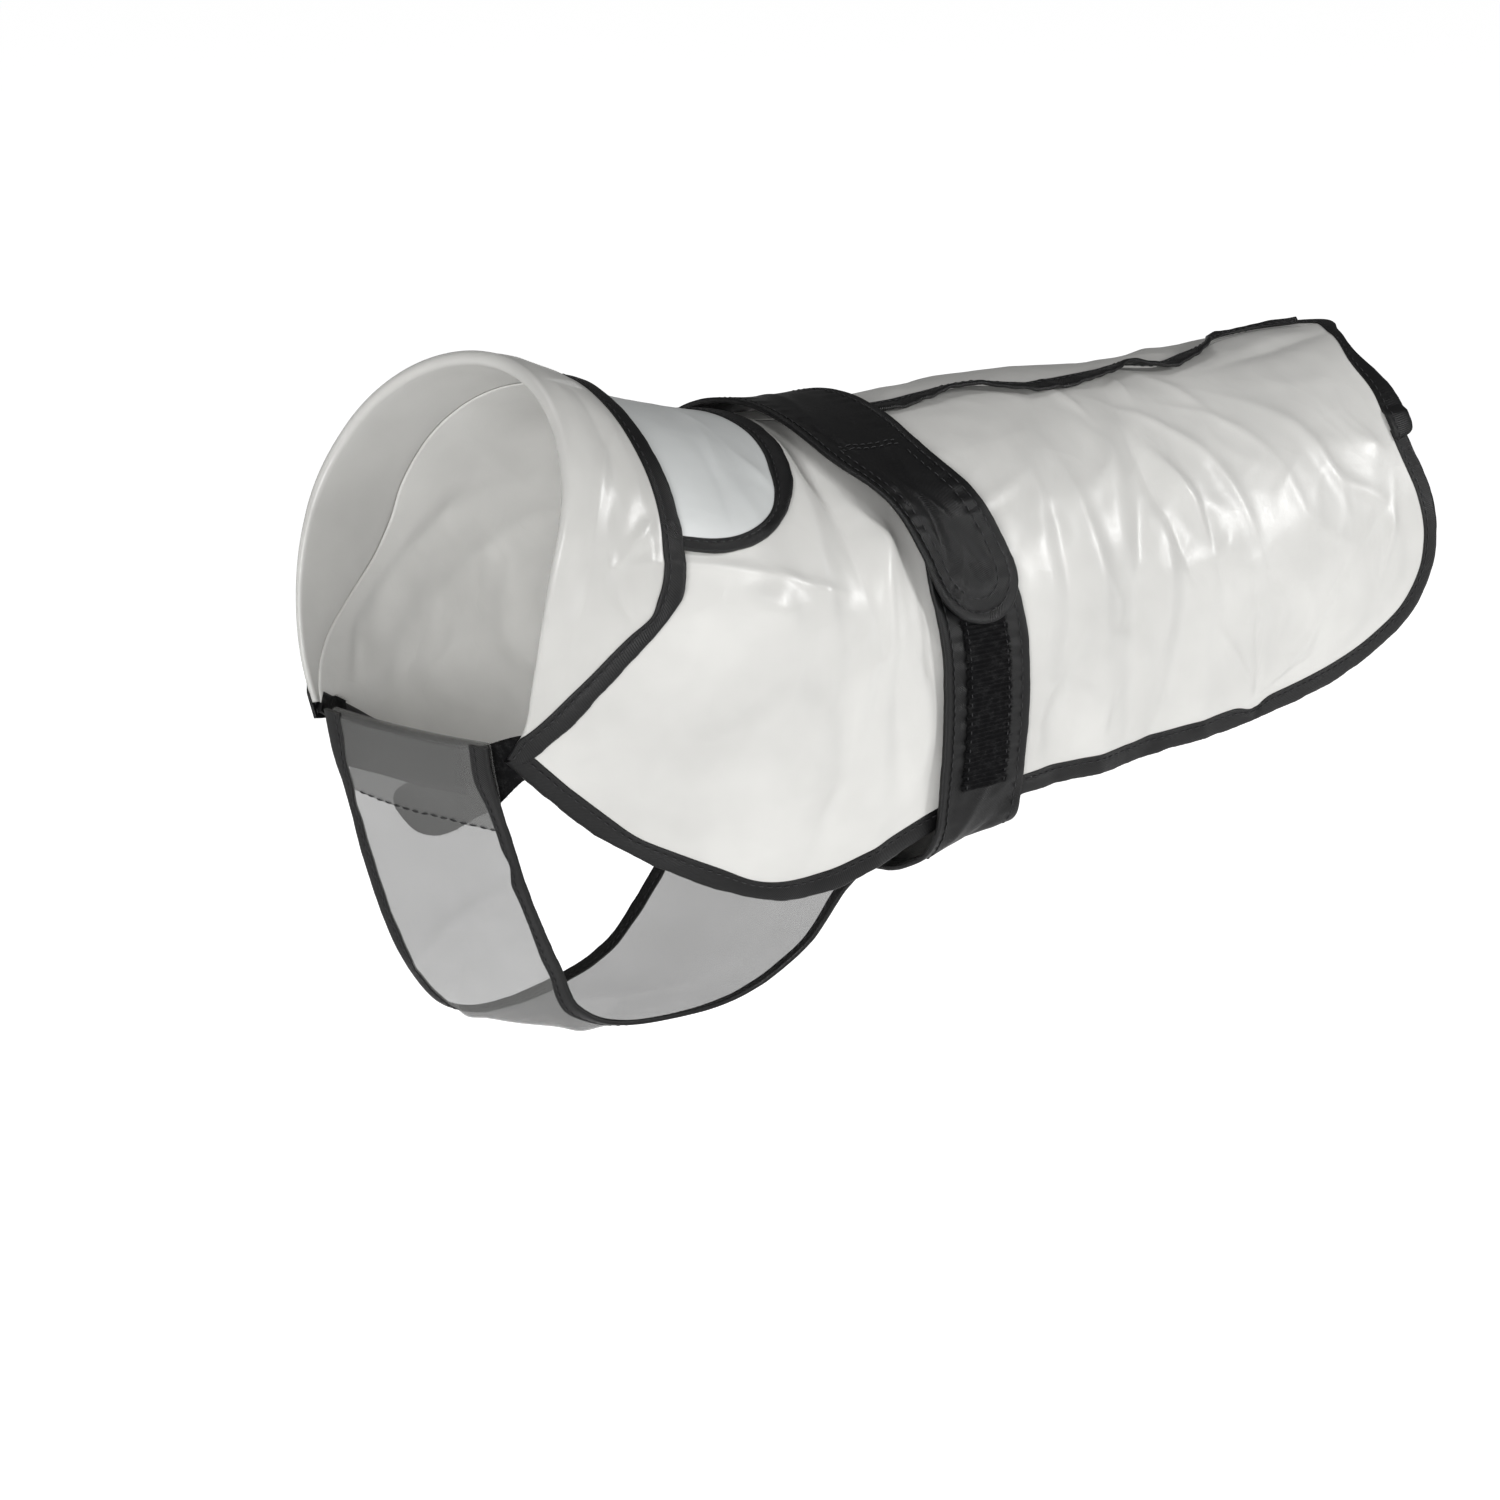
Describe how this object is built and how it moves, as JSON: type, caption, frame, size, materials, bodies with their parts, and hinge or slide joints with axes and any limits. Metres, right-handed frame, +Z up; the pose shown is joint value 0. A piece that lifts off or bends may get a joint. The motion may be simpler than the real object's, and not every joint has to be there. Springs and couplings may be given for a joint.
{
  "type": "dog raincoat",
  "caption": "Hollow dog raincoat as worn: frosted back panels, turned-down collar, shoulder flap, belly strap with hook closure, and a chest panel that passes between the forelegs.",
  "frame": {"origin": "on the inner face of the back, in the middle of the coat's width, in front of where the belly strap's rear edge crosses it; the wearer's back holds the coat there", "axes": "+X towards the tail, +Z up, -Y towards the side where the belly strap closes"},
  "size_m": [0.5521, 0.2134, 0.3085],
  "materials": {
    "frosted_film": "frosted translucent PVC, soft gloss",
    "black_nylon": "satin woven nylon",
    "hook_tape": "matt ribbed loop tape"
  },
  "bodies": {
    "root": {"back_panel_near": "frosted_film", "back_panel_far": "frosted_film", "collar": "frosted_film", "shoulder_flap": "frosted_film", "chest_panel": "frosted_film", "hem_tape_near": "black_nylon", "hem_tape_far": "black_nylon", "back_seam_tape": "black_nylon", "collar_tape": "black_nylon", "flap_tape": "black_nylon", "belly_strap": "black_nylon", "belly_strap_tape": "black_nylon", "chest_tape_near": "black_nylon", "chest_tape_far": "black_nylon", "neck_tab_near": "black_nylon", "neck_tab_far": "black_nylon", "hook_tape": "hook_tape"}
  },
  "joints": []
}
